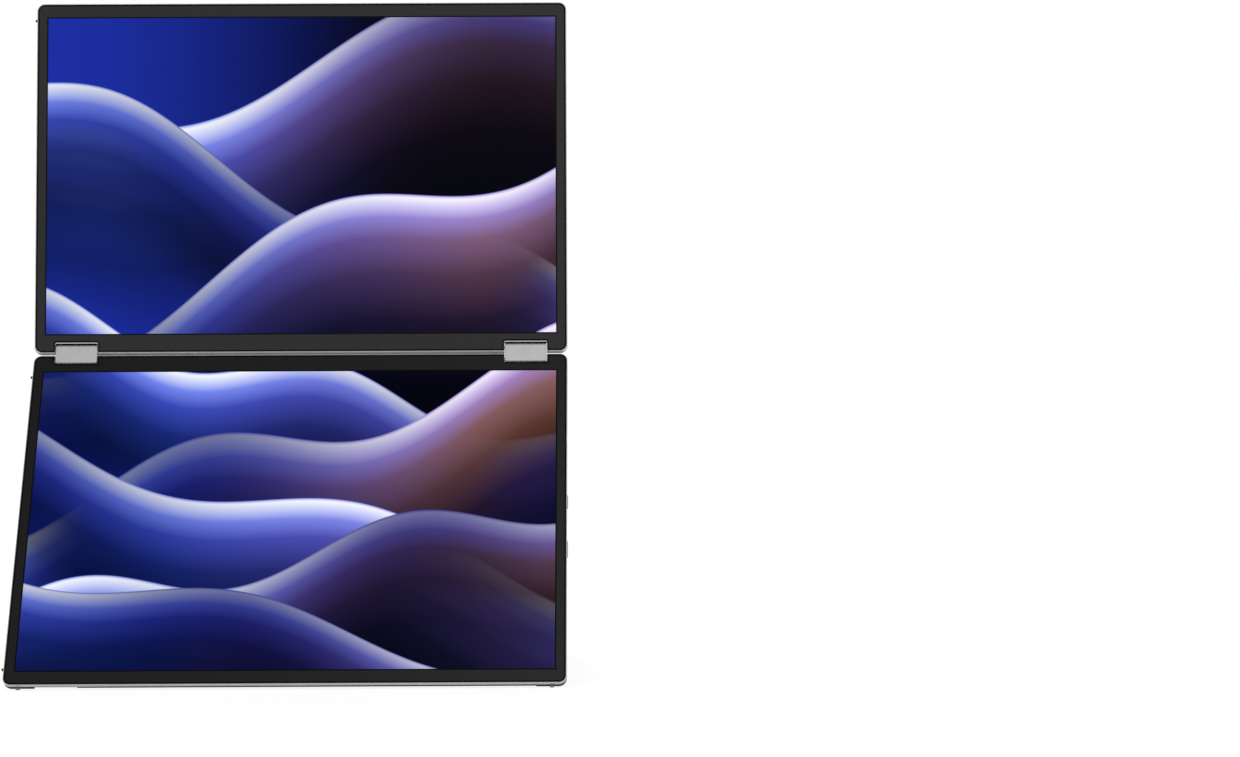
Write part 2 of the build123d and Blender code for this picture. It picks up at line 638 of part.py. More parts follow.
# Lower back cover: pocket and scoop for the kickstand, sockets, buttons, feet and tripod bush
POCKET_HALF_WIDTH = KICK_WIDTH / 2 + PASS_GAP
PORT_BAY_INNER = POCKET_HALF_WIDTH + LOWER_WALL
TRIPOD_BOSS_RADIUS = TRIPOD_BUSH_RADIUS + FIT + TRIPOD_BOSS_WALL
TRIPOD_BUSH_LENGTH = TRIPOD_DEPTH + TRIPOD_BUSH_FLOOR
BACK = back_plane(LOWER, LOWER_THICK)


def usb_outline(gap):
    SlotOverall(USB_WIDTH + 2 * gap, USB_HEIGHT + 2 * gap)


def hdmi_outline(gap):
    """Socket outline with its two lower corners cut off at a slope."""
    half_width = HDMI_WIDTH / 2 + gap
    half_height = HDMI_HEIGHT / 2 + gap
    slope = HDMI_SLOPE + gap
    with BuildLine() as shell:
        Polyline((-half_width, half_height), (half_width, half_height), (half_width, slope - half_height),
                 (half_width - slope, -half_height), (slope - half_width, -half_height),
                 (-half_width, slope - half_height), close=True)
    make_face(shell.edges())


def button_outline(length, gap):
    SlotOverall(length + 2 * gap, BUTTON_HEIGHT + 2 * gap)


with BuildPart() as lower_back_cover:
    add(make_cover_shell(LOWER))
    with BuildSketch(BACK):
        block((-POCKET_HALF_WIDTH, POCKET_HALF_WIDTH),
              (KICK_PLACE - KICK_THICK - KICK_HEAD_GAP, FAR_EDGE + OVERRUN))
    extrude(amount=-POCKET_DEPTH, mode=Mode.SUBTRACT)
    # Sloping relief along the pocket's open edge, and a finger scoop at its left end
    with BuildSketch(side_plane(LOWER.front, -POCKET_HALF_WIDTH)):
        with BuildLine() as relief:
            Polyline((FAR_EDGE - POCKET_BEVEL, -POCKET_FLOOR),
                     (FAR_EDGE + OVERRUN, POCKET_BEVEL + OVERRUN - POCKET_FLOOR),
                     (FAR_EDGE + OVERRUN, -POCKET_FLOOR), close=True)
        make_face(relief.edges())
    extrude(amount=2 * POCKET_HALF_WIDTH, mode=Mode.SUBTRACT)
    with BuildSketch(side_plane(LOWER.front, POCKET_HALF_WIDTH - PASS_GAP)):
        with Locations((FAR_EDGE, SCOOP_DEPTH - LOWER_THICK - SCOOP_RADIUS)):
            Circle(SCOOP_RADIUS)
    extrude(amount=-SCOOP_WIDTH, mode=Mode.SUBTRACT)
    # Openings for the kickstand's barrels
    for x in KICK_HINGES:
        start = x - KICK_HINGE_WIDTH / 2 - PASS_GAP
        with BuildSketch(side_plane(LOWER.front, start)):
            with Locations((KICK_PLACE, -KICK_AXIS_DEPTH)):
                Circle(KICK_THICK + PASS_GAP)
        extrude(amount=KICK_HINGE_WIDTH + 2 * PASS_GAP, mode=Mode.SUBTRACT)
    drill(LOWER.front.offset(-LOWER_FLOOR), FIXED_LEAF_SCREWS, SCREW_RADIUS + RUN_FIT, SCREW_BITE)
    # Bay behind the right edge, for sockets and buttons
    with BuildSketch(back_plane(LOWER, PLATE_BACK)):
        block((PORT_BAY_INNER, HALF_WIDTH - PORT_WALL),
              (USB_PLACES[0] - PORT_BAY_MARGIN, USB_PLACES[1] + PORT_BAY_MARGIN))
    extrude(amount=LOWER_THICK - LOWER_WALL - PLATE_BACK, mode=Mode.SUBTRACT)
    with BuildSketch(right_edge(-OVERRUN)):
        with Locations(*[(place, -PORT_DEPTH) for place in USB_PLACES]):
            usb_outline(FIT)
        with Locations((POWER_PLACE, -PORT_DEPTH)):
            button_outline(POWER_LENGTH, BUTTON_FIT)
        with Locations((MENU_PLACE, -PORT_DEPTH)):
            button_outline(MENU_LENGTH, BUTTON_FIT)
    extrude(amount=OVERRUN + PORT_WALL, mode=Mode.SUBTRACT)
    with BuildSketch(Plane(right_edge(-OVERRUN).from_local_coords((HDMI_PLACE, -PORT_DEPTH, 0)),
                           x_dir=LOWER.front.y_dir, z_dir=LOWER.front.x_dir)):
        hdmi_outline(FIT)
    extrude(amount=OVERRUN + PORT_WALL, mode=Mode.SUBTRACT)
    # Sockets for the round feet under the lower edge
    with BuildSketch(Plane(LOWER.front.origin + LOWER.front.y_dir * FAR_EDGE, x_dir=LOWER.front.x_dir,
                           z_dir=LOWER.front.y_dir)):
        with Locations((-FOOT_X, FOOT_DEPTH), (FOOT_X, FOOT_DEPTH)):
            Circle(FOOT_RADIUS + RUN_FIT)
    extrude(amount=-FOOT_SOCKET, mode=Mode.SUBTRACT)
    # Boss and bore for the tripod bush
    with BuildSketch(back_plane(LOWER, PLATE_BACK + FIT)):
        with Locations((0, TRIPOD_PLACE)):
            Circle(TRIPOD_BOSS_RADIUS)
    extrude(amount=LOWER_FLOOR - PLATE_BACK - FIT)
    drill(BACK, [(0, TRIPOD_PLACE)], TRIPOD_BUSH_RADIUS + RUN_FIT, TRIPOD_BUSH_LENGTH)
export(lower_back_cover.part, "lower_back_cover")

with BuildPart() as tripod_bush:
    with BuildSketch(BACK):
        with Locations((0, TRIPOD_PLACE)):
            Circle(TRIPOD_BUSH_RADIUS)
    extrude(amount=-TRIPOD_BUSH_LENGTH)
    drill(BACK, [(0, TRIPOD_PLACE)], TRIPOD_RADIUS, TRIPOD_DEPTH)
export(tripod_bush.part, "tripod_bush")

with BuildPart() as lower_feet:
    with BuildSketch(Plane(LOWER.front.origin + LOWER.front.y_dir * (FAR_EDGE - FOOT_SOCKET),
                           x_dir=LOWER.front.x_dir, z_dir=LOWER.front.y_dir)):
        with Locations((-FOOT_X, FOOT_DEPTH), (FOOT_X, FOOT_DEPTH)):
            Circle(FOOT_RADIUS)
    extrude(amount=FOOT_SOCKET + FOOT_PROUD)
    split(bisect_by=Plane.XY)
export(lower_feet.part, "lower_feet")

# Main board with shield, chips and the two switches behind the buttons
BOARD_FACE = back_plane(LOWER, PLATE_BACK)
SWITCH_GAP = PORT_WALL + FIT + BUTTON_FLANGE_THICK + PLUNGER_LENGTH + BUTTON_TRAVEL + FIT
with BuildPart() as main_board:
    with BuildSketch(BOARD_FACE):
        block((BOARD_LEFT, BOARD_RIGHT), (BOARD_NEAR, BOARD_FAR))
    extrude(amount=LEAF_THICK)
    with BuildSketch(BOARD_FACE.offset(LEAF_THICK)):
        with Locations(((BOARD_LEFT + BOARD_RIGHT) / 2, HDMI_PLACE)):
            Rectangle(SHIELD_WIDTH, SHIELD_LENGTH)
        with Locations((BOARD_LEFT + CHIP_SIZE, POWER_PLACE + CHIP_SIZE),
                       (BOARD_LEFT + CHIP_SIZE, MENU_PLACE + CHIP_SIZE)):
            Rectangle(CHIP_SIZE, CHIP_SIZE)
        with Locations(*[(BOARD_RIGHT - 2 * CHIP_SIZE, place) for place in USB_PLACES]):
            Rectangle(CHIP_SMALL_SIZE, CHIP_SMALL_SIZE)
    extrude(amount=CHIP_HEIGHT)
    with BuildSketch(BOARD_FACE.offset(LEAF_THICK)):
        with Locations(*[(HALF_WIDTH - SWITCH_GAP - SWITCH_LENGTH / 2, place)
                         for place in (POWER_PLACE, MENU_PLACE)]):
            Rectangle(SWITCH_LENGTH, SWITCH_WIDTH)
    extrude(amount=USB_HEIGHT)
    drill(BOARD_FACE.offset(LEAF_THICK), BOARD_SCREWS, SCREW_RADIUS + RUN_FIT, LEAF_THICK)
export(main_board.part, "main_board")

make_flex("lower_board_flex", LOWER, FLEX_X, FLEX_WIDTH, BOARD_FAR - FLEX_LAP, DRIVER_NEAR + FLEX_LAP,
          (BOARD_FAR - FLEX_LAP, DRIVER_NEAR + FLEX_LAP - FLEX_HEAD_LENGTH))
make_flex("lower_hinge_flex", LOWER, HINGE_FLEX_X, HINGE_FLEX_WIDTH, LEAF_SCREW_NEAR,
          BOARD_NEAR + FLEX_LAP, (BOARD_NEAR + FLEX_LAP - FLEX_HEAD_LENGTH,))
make_flex("upper_hinge_flex", UPPER, FLEX_X, HINGE_FLEX_WIDTH, LEAF_SCREW_NEAR,
          DRIVER_NEAR + FLEX_LAP, (DRIVER_NEAR + FLEX_LAP - FLEX_HEAD_LENGTH,))

# Sockets: thin shells with a tongue, open at the right edge
for name, place in zip(("usb_c_socket_near", "usb_c_socket_far"), USB_PLACES):
    mouth = right_edge(PORT_INSET)
    mouth = Plane(mouth.from_local_coords((place, -PORT_DEPTH, 0)), x_dir=mouth.x_dir, z_dir=mouth.z_dir)
    with BuildPart() as socket:
        with BuildSketch(mouth):
            usb_outline(0)
        extrude(amount=USB_DEPTH)
        with BuildSketch(mouth):
            usb_outline(-SHELL_WALL)
        extrude(amount=USB_DEPTH - PORT_FLOOR, mode=Mode.SUBTRACT)
        with BuildSketch(mouth.offset(USB_DEPTH - PORT_FLOOR)):
            Rectangle(USB_TONGUE_WIDTH, USB_TONGUE_HEIGHT)
        extrude(amount=-USB_TONGUE_LENGTH)
    export(socket.part, name)

hdmi_mouth = right_edge(PORT_INSET)
hdmi_mouth = Plane(hdmi_mouth.from_local_coords((HDMI_PLACE, -PORT_DEPTH, 0)), x_dir=hdmi_mouth.x_dir,
                   z_dir=hdmi_mouth.z_dir)
with BuildPart() as mini_hdmi_socket:
    with BuildSketch(hdmi_mouth):
        hdmi_outline(0)
    extrude(amount=HDMI_DEPTH)
    with BuildSketch(hdmi_mouth):
        hdmi_outline(-SHELL_WALL)
    extrude(amount=HDMI_DEPTH - PORT_FLOOR, mode=Mode.SUBTRACT)
    with BuildSketch(hdmi_mouth.offset(HDMI_DEPTH - PORT_FLOOR)):
        Rectangle(HDMI_TONGUE_WIDTH, HDMI_TONGUE_HEIGHT)
    extrude(amount=-HDMI_TONGUE_LENGTH)
export(mini_hdmi_socket.part, "mini_hdmi_socket")

# Buttons: cap through the wall, flange behind it and a plunger towards the switch
for name, place, length in (("power_button", POWER_PLACE, POWER_LENGTH),
                            ("menu_button", MENU_PLACE, MENU_LENGTH)):
    with BuildPart() as button:
        with BuildSketch(right_edge(-BUTTON_PROUD)):
            with Locations((place, -PORT_DEPTH)):
                button_outline(length, 0)
        extrude(amount=BUTTON_PROUD + PORT_WALL + FIT)
        chamfer(button.faces().sort_by(Axis.X)[-1].edges(), BUTTON_BEVEL)
        with BuildSketch(right_edge(PORT_WALL + FIT)):
            with Locations((place, -PORT_DEPTH)):
                button_outline(length, BUTTON_FLANGE)
        extrude(amount=BUTTON_FLANGE_THICK)
        with BuildSketch(right_edge(PORT_WALL + FIT + BUTTON_FLANGE_THICK)):
            with Locations((place, -PORT_DEPTH)):
                Circle(PLUNGER_RADIUS)
        extrude(amount=PLUNGER_LENGTH)
    export(button.part, name)

# Hinge blocks: cover open at the back, cap, bearing plates, torque clips and idlers
CAVITY_END = BLOCK_END - BLOCK_END_WALL
CAVITY_HALF_DEPTH = BLOCK_HALF_DEPTH - BLOCK_WALL
CAVITY_RADIUS = BLOCK_RADIUS - BLOCK_END_WALL
AXIS_PLACES = (-AXIS_GAP / 2, AXIS_GAP / 2)
IDLER_PLACES = (-GEAR_RADIUS, GEAR_RADIUS)
FIRST_BEARING = BLOCK_OUTER - BLOCK_SIDE_WALL - BEARING_THICK
SECOND_BEARING = GEAR_INNER - GEAR_SIDE_GAP - BEARING_THICK
THIRD_BEARING = BLOCK_INNER + BLOCK_SIDE_WALL


def block_outline(mode=Mode.ADD):
    RectangleRounded(AXIS_GAP + 2 * BLOCK_END, 2 * BLOCK_HALF_DEPTH, BLOCK_RADIUS, mode=mode)


def block_cavity(gap):
    RectangleRounded(AXIS_GAP + 2 * (CAVITY_END - gap), 2 * CAVITY_HALF_DEPTH, CAVITY_RADIUS)


def axis_holes(radius, places):
    with Locations(*[(place, 0) for place in places]):
        Circle(radius, mode=Mode.SUBTRACT)


with BuildPart() as hinge_cover_right:
    with BuildSketch(link_plane(0, BLOCK_INNER)):
        block_outline()
    extrude(amount=HINGE_WIDTH)
    chamfer(hinge_cover_right.faces().filter_by(Axis.X).edges(), BLOCK_BEVEL)
    with BuildSketch(link_plane(0, THIRD_BEARING)):
        block_cavity(0)
        block((-AXIS_GAP / 2 - CAVITY_END, AXIS_GAP / 2 + CAVITY_END), (-BLOCK_HALF_DEPTH - OVERRUN, 0))
    extrude(amount=HINGE_WIDTH - 2 * BLOCK_SIDE_WALL, mode=Mode.SUBTRACT)
    with BuildSketch(link_plane(0, BLOCK_INNER)):
        with Locations(*[(place, 0) for place in AXIS_PLACES]):
            Circle(SHAFT_RADIUS + RUN_FIT)
    extrude(amount=BLOCK_SIDE_WALL, mode=Mode.SUBTRACT)
export(hinge_cover_right.part, "hinge_cover_right")

with BuildPart() as hinge_cover_left:
    add(hinge_cover_right.part)
    mirror(about=Plane.YZ, mode=Mode.REPLACE)
export(hinge_cover_left.part, "hinge_cover_left")

with BuildPart() as hinge_back_caps:
    with BuildSketch(link_plane(0, THIRD_BEARING + FIT)):
        block((FIT - AXIS_GAP / 2 - CAVITY_END, AXIS_GAP / 2 + CAVITY_END - FIT),
              (-BLOCK_HALF_DEPTH, -CAVITY_HALF_DEPTH))
        block_outline(Mode.INTERSECT)
    extrude(amount=HINGE_WIDTH - 2 * (BLOCK_SIDE_WALL + FIT))
    mirror(about=Plane.YZ)
export(hinge_back_caps.part, "hinge_back_caps")

with BuildPart() as hinge_bearing_plates:
    for x, idlers in ((FIRST_BEARING, IDLER_PLACES), (SECOND_BEARING, IDLER_PLACES), (THIRD_BEARING, ())):
        with BuildSketch(link_plane(0, x)):
            block_cavity(RUN_FIT)
            axis_holes(SHAFT_RADIUS + RUN_FIT, AXIS_PLACES)
            if idlers:
                axis_holes(IDLER_PIN_RADIUS + RUN_FIT, idlers)
        extrude(amount=BEARING_THICK)
    mirror(about=Plane.YZ)
export(hinge_bearing_plates.part, "hinge_bearing_plates")

with BuildPart() as hinge_torque_clips:
    CLIP_START = THIRD_BEARING + BEARING_THICK
    CLIP_STEP = (SECOND_BEARING - CLIP_START) / CLIP_COUNT
    for index in range(CLIP_COUNT):
        with BuildSketch(link_plane(0, CLIP_START + CLIP_STEP * index)):
            with Locations(*[(place, 0) for place in AXIS_PLACES]):
                Circle(SHAFT_RADIUS + RUN_FIT + CLIP_WALL)
            block(AXIS_PLACES, (-CLIP_WALL, CLIP_WALL))
            axis_holes(SHAFT_RADIUS + RUN_FIT, AXIS_PLACES)
            for place in AXIS_PLACES:
                block((place - CLIP_SLIT / 2, place + CLIP_SLIT / 2), (0, BLOCK_HALF_DEPTH), Mode.SUBTRACT)
        extrude(amount=CLIP_THICK)
    mirror(about=Plane.YZ)
export(hinge_torque_clips.part, "hinge_torque_clips")

make_idlers("hinge_idlers_lower", -GEAR_RADIUS, HALF_PITCH_SHARE)
make_idlers("hinge_idlers_upper", GEAR_RADIUS, 0)

# Kickstand hinges: fixed leaves inside the half, pins, moving leaves sunk in the plate
SIDE_KNUCKLE = (KICK_HINGE_WIDTH - KICK_KNUCKLE) / 2 - PASS_GAP
with BuildPart() as kickstand_fixed_leaves:
    for x in KICK_HINGES:
        with BuildSketch(LOWER.front.offset(-LOWER_FLOOR)):
            block((x - KICK_HINGE_WIDTH / 2, x + KICK_HINGE_WIDTH / 2),
                  (KICK_PLACE - KICK_THICK - KICK_LEAF_LENGTH, KICK_PLACE))
        extrude(amount=KICK_LEAF_THICK)
        for start in (x - KICK_HINGE_WIDTH / 2, x + KICK_HINGE_WIDTH / 2 - SIDE_KNUCKLE):
            with BuildSketch(side_plane(LOWER.front, start)):
                with Locations((KICK_PLACE, -KICK_AXIS_DEPTH)):
                    Circle(KICK_THICK)
                    Circle(KICK_PIN_RADIUS + RUN_FIT, mode=Mode.SUBTRACT)
            extrude(amount=SIDE_KNUCKLE)
        with BuildSketch(LOWER.front.offset(-LOWER_FLOOR)):
            block((x - KICK_KNUCKLE / 2 - PASS_GAP, x + KICK_KNUCKLE / 2 + PASS_GAP),
                  (KICK_PLACE - KICK_THICK - PASS_GAP, KICK_PLACE))
        extrude(amount=KICK_LEAF_THICK, mode=Mode.SUBTRACT)
    drill(LOWER.front.offset(KICK_LEAF_THICK - LOWER_FLOOR), FIXED_LEAF_SCREWS, SCREW_RADIUS + RUN_FIT,
          KICK_LEAF_THICK)
export(kickstand_fixed_leaves.part, "kickstand_fixed_leaves")

make_screws("kickstand_fixed_screws", LOWER.front.offset(KICK_LEAF_THICK - LOWER_FLOOR), FIXED_LEAF_SCREWS,
            KICK_LEAF_THICK + SCREW_BITE)

with BuildPart() as kickstand_pins:
    for x in KICK_HINGES:
        with BuildSketch(side_plane(KICK, x - KICK_HINGE_WIDTH / 2)):
            Circle(KICK_PIN_RADIUS)
        extrude(amount=KICK_HINGE_WIDTH)
export(kickstand_pins.part, "kickstand_pins")

with BuildPart() as kickstand_moving_leaves:
    for x in KICK_HINGES:
        with BuildSketch(KICK):
            block((x - KICK_KNUCKLE / 2, x + KICK_KNUCKLE / 2), (0, KICK_THICK + KICK_LEAF_LENGTH))
            block((x - KICK_HINGE_WIDTH / 2, x + KICK_HINGE_WIDTH / 2),
                  (KICK_THICK + PASS_GAP, KICK_THICK + KICK_LEAF_LENGTH))
        extrude(amount=-KICK_LEAF_THICK)
        with BuildSketch(side_plane(KICK, x - KICK_KNUCKLE / 2)):
            Circle(KICK_THICK)
        extrude(amount=KICK_KNUCKLE)
        with BuildSketch(side_plane(KICK, x - KICK_KNUCKLE / 2)):
            Circle(KICK_PIN_RADIUS + RUN_FIT)
        extrude(amount=KICK_KNUCKLE, mode=Mode.SUBTRACT)
    drill(KICK, MOVING_LEAF_RIVETS, SCREW_RADIUS + RUN_FIT, KICK_LEAF_THICK)
export(kickstand_moving_leaves.part, "kickstand_moving_leaves")

with BuildPart() as kickstand_rivets:
    with BuildSketch(KICK):
        with Locations(*MOVING_LEAF_RIVETS):
            Circle(SCREW_RADIUS)
    extrude(amount=-KICK_LEAF_THICK - SCREW_BITE)
export(kickstand_rivets.part, "kickstand_rivets")

# Kickstand plate, with its rubber sole let into the free edge
PLATE_TOP = KICK_THICK + PASS_GAP
SOLE_HALF_WIDTH = KICK_WIDTH / 2 - SOLE_SIDE_INSET
TONGUE_BACK = -(KICK_THICK + SOLE_TONGUE_THICK) / 2
TONGUE_FRONT = (SOLE_TONGUE_THICK - KICK_THICK) / 2
with BuildPart() as kickstand_plate:
    with BuildSketch(KICK):
        block((-KICK_WIDTH / 2, KICK_WIDTH / 2), (PLATE_TOP, SOLE_PLACE))
    extrude(amount=-KICK_THICK)
    fillet(kickstand_plate.edges().filter_by(Axis(KICK.origin, KICK.z_dir)).group_by(Axis.Z)[0],
           KICK_CORNER_RADIUS)
    with BuildSketch(KICK):
        for x in KICK_HINGES:
            block((x - KICK_HINGE_WIDTH / 2 - FIT, x + KICK_HINGE_WIDTH / 2 + FIT),
                  (PLATE_TOP, KICK_THICK + KICK_LEAF_LENGTH + FIT))
    extrude(amount=-KICK_LEAF_THICK, mode=Mode.SUBTRACT)
    drill(KICK.offset(-KICK_LEAF_THICK), MOVING_LEAF_RIVETS, SCREW_RADIUS + RUN_FIT, SCREW_BITE)
    with BuildSketch(side_plane(KICK, -SOLE_HALF_WIDTH)):
        block((SOLE_PLACE - SOLE_TONGUE, SOLE_PLACE + OVERRUN),
              (TONGUE_BACK - RUN_FIT, TONGUE_FRONT + RUN_FIT))
    extrude(amount=2 * SOLE_HALF_WIDTH, mode=Mode.SUBTRACT)
export(kickstand_plate.part, "kickstand_plate")

with BuildPart() as kickstand_sole:
    with BuildSketch(side_plane(KICK, FIT - SOLE_HALF_WIDTH)):
        with Locations((SOLE_PLACE, -SOLE_RADIUS)):
            Circle(SOLE_RADIUS)
        block((SOLE_PLACE - SOLE_RADIUS, SOLE_PLACE), (-KICK_THICK, 0), Mode.SUBTRACT)
        block((SOLE_PLACE - SOLE_TONGUE, SOLE_PLACE), (TONGUE_BACK, TONGUE_FRONT))
    extrude(amount=2 * (SOLE_HALF_WIDTH - FIT))
    split(bisect_by=Plane.XY)
export(kickstand_sole.part, "kickstand_sole")
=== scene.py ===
"""Looks of the dual portable monitor: finishes, lit pictures and fine detail around its frame."""
import json
import math

import bmesh
import bpy
from mathutils import Matrix, Vector


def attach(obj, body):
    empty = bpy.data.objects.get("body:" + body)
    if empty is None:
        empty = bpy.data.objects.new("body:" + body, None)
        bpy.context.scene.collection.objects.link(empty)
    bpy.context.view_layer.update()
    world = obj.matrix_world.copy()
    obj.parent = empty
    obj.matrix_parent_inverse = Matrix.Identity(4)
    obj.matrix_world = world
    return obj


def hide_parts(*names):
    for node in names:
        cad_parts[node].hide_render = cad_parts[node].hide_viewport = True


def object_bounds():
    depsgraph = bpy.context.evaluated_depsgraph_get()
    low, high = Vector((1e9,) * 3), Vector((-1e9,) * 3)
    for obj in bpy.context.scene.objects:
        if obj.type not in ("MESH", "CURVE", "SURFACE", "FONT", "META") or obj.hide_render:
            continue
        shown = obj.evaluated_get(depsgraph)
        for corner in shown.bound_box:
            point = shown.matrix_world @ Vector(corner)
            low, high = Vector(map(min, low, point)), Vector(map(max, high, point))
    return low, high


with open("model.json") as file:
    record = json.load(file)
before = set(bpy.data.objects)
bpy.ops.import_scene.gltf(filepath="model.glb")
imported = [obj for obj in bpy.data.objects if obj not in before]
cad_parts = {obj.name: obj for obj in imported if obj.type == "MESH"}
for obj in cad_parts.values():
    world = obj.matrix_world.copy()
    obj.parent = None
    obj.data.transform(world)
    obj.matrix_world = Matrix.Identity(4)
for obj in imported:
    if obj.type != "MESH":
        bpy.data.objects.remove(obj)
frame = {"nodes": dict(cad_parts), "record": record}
cad_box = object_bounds()

NODES = frame["nodes"]
SLOT_OF = {part["node"]: part["material_slot"] for part in frame["record"]["subparts"]}
SIDES = ("left", "right")
X_AXIS = Vector((1, 0, 0))
EVEN = (1, 1, 1)

# Camera, solved from the corners of both pictures: metres and degrees
PHOTO_WIDTH = 1240
FOCAL_PIXELS = 2906.58
SENSOR_WIDTH = 36.0
CAMERA_PLACE = (0.180049, -1.673975, 0.335956)
CAMERA_PITCH = 5.80077
CAMERA_YAW = -0.28196
CAMERA_ROLL = -0.22370
LEVEL = 90           # turn from looking straight down to looking level

# Glass: lit area inside the panel, black line round it and along the glass edge, in metres
PANEL_BORDER = 0.0020
BLACK_LINE = 0.0008
WELD = 1e-6
FACING = 0.999
BLACK = 1            # places among its materials, after the border
PICTURE = 2

# Contacts of the sockets: how many on a face, their pitch, and the tongue's thickness and length, in metres
SOCKETS = {
    "usb_c_socket_near": (12, 0.00050, 0.0007, 0.0045),
    "usb_c_socket_far": (12, 0.00050, 0.0007, 0.0045),
    "mini_hdmi_socket": (10, 0.00075, 0.0006, 0.0048),
}
SOCKET_FLOOR = 0.0008
CONTACT_WIDTH_SHARE = 0.55
CONTACT_LENGTH_SHARE = 0.75
CONTACT_PROUD = 0.00004
CONTACT_SUNK = 0.00006
CONTACT_BEVEL = 0.00002
CONTACT_SEGMENTS = 2

# Thread of the tripod bush, in metres
BORE_RADIUS = 0.003175
THREAD_PITCH = 0.00127
THREAD_HEIGHT = 0.0006
THREAD_LENGTH = 0.0038
THREAD_SUNK = 0.00002
THREAD_STEPS = 40
ROOT_SHARE = 0.45
CREST_SHARE = 0.08

# Painted shade as dark round ends of the hinge blocks and dark lips behind them, from the upper axis, in
# metres
END_RADIUS = 0.00255
END_CHORD = 0.0019
END_SIDE = 0.0003
END_STEPS = 12
LIP_TOP = 0.00306
LIP_BOTTOM = 0.0024
LIP_BACK = (0.0013, 0.0015)
LIP_SIDE = 0.00037

# Walls of the hinge notches, painted black as painted shade: how far round a block they lie, and how little
# they face the viewer
NOTCH_MARGIN = 0.0012
NOTCH_FACING = 0.3

LINK_TURN = math.radians(-12)   # of the blocks, from the upper half's own axes
SMOOTH_ANGLE = math.radians(30)

# Floor, in metres, with the white that it shows by itself and the grey that takes light and shadow
FLOOR_RADIUS = 1.6
FLOOR_SEGMENTS = 96
FLOOR_FADE = (0.55, 1.5)
FLOOR_DROP = 0.0002
FLOOR_LIFT = 0.84
FLOOR_GREY = 0.3

# Surroundings: brightness by height, from the horizon at 0 to straight up at 1
SKY_STOPS = ((0.30, 1.0), (0.62, 0.88), (0.84, 0.16), (1.0, 0.12))

# Soft square lamps aimed at the middle of the object: place and size in metres, power in watts
LAMPS = {
    "key": ((0.8, -1.3, 1.5), 1.6, 6.0),
    "back": ((-0.9, 1.3, 1.3), 0.9, 8.0),
}


def grey(level, tint=1.0):
    """Grey of a level, its blue times the tint."""
    return (level, level, level * tint, 1)


# Finishes by material slot: two ends of the colour, two ends of the roughness, grain in cells a metre,
# strength and height of the bump in metres, stretch of the grain, and other sockets of the shader
SILVER = dict(dark=grey(0.53, 1.01), light=grey(0.57, 1.01), roughness=(0.45, 0.58), grain=9000.0,
              bump=(0.12, 0.00002), Metallic=0.6)
LOOKS = {
    "silver_frame": SILVER,
    "silver_button": SILVER,
    "dark_cover": dict(dark=grey(0.032, 1.06), light=grey(0.036, 1.06), roughness=(0.55, 0.72), grain=5200.0,
                       bump=(0.35, 0.00004), Specular_IOR_Level=0.06),
    "kickstand_metal": dict(dark=grey(0.040, 1.06), light=grey(0.045, 1.06), roughness=(0.36, 0.55),
                            grain=3800.0, bump=(0.3, 0.00004), Metallic=0.3),
    "screen_panel": dict(dark=grey(0.006, 1.4), light=grey(0.010, 1.4), roughness=(0.2, 0.3), grain=3000.0,
                         bump=(0.05, 0.00001)),
    "steel": dict(dark=grey(0.42), light=grey(0.52), roughness=(0.22, 0.42), grain=6000.0,
                  bump=(0.15, 0.00002), stretch=(0.04, 1, 1), Metallic=1.0),
    "screws": dict(dark=grey(0.16), light=grey(0.24), roughness=(0.3, 0.45), grain=7000.0,
                   bump=(0.1, 0.00002), Metallic=1.0),
    "flat_cable": dict(dark=(0.30, 0.11, 0.015, 1), light=(0.42, 0.17, 0.025, 1), roughness=(0.25, 0.4),
                       grain=5000.0, bump=(0.1, 0.00002), stretch=(1, 0.05, 0.05)),
    "socket_shell": dict(dark=grey(0.58), light=grey(0.66), roughness=(0.18, 0.3), grain=6000.0,
                         bump=(0.08, 0.00001), Metallic=1.0),
    "rubber": dict(dark=grey(0.016), light=grey(0.026), roughness=(0.7, 0.9), grain=4500.0,
                   bump=(0.4, 0.00005)),
    "brass": dict(dark=(0.62, 0.42, 0.16, 1), light=(0.72, 0.50, 0.21, 1), roughness=(0.2, 0.35),
                  grain=5000.0, bump=(0.1, 0.00002), stretch=(1, 0.05, 1), Metallic=1.0),
}

# Pale silicone of the two feet under the lower edge
FOOT_LOOK = dict(dark=grey(0.20), light=grey(0.26), roughness=(0.45, 0.60), grain=4500.0,
                 bump=(0.2, 0.00003))

# Printed border under satin glass, and the unlit edge of the panel with the gasket round the glass; the same
# black also serves as painted shade in the hinge notches and on the hinge-block ends
BORDER_LOOK = dict(dark=grey(0.0060), light=grey(0.0080), roughness=(0.26, 0.34), grain=12000.0,
                   bump=(0.04, 0.00001), Specular_IOR_Level=0.32)
BLACK_AND_SHADE_LOOK = dict(dark=grey(0.0008), light=grey(0.0014), roughness=(0.45, 0.55), grain=9000.0,
                  bump=(0.05, 0.00001), Specular_IOR_Level=0.08)

# Grain of a finish: detail of its noise, and the scale, detail and ends of the broad change of colour
FINE_DETAIL = 2.0
BROAD_SHARE = 0.02
BROAD_DETAIL = 4.0
BROAD_ENDS = (0.3, 0.7)

# Boards: tracks under the green mask, in cells a metre, with two greys for them and one for the gaps
TRACK_SCALE = 260.0
TRACK_GAP = 0.03
TRACK_GREYS = (0.0, 1.0, 0.5)
MASK_GRAIN = 900.0
MASK_STOPS = ((0.1, (0.006, 0.040, 0.016, 1)), (0.8, (0.030, 0.140, 0.055, 1)))
MASK_ROUGHNESS = (0.3, 0.5)
MASK_BUMP = (0.2, 0.00005)

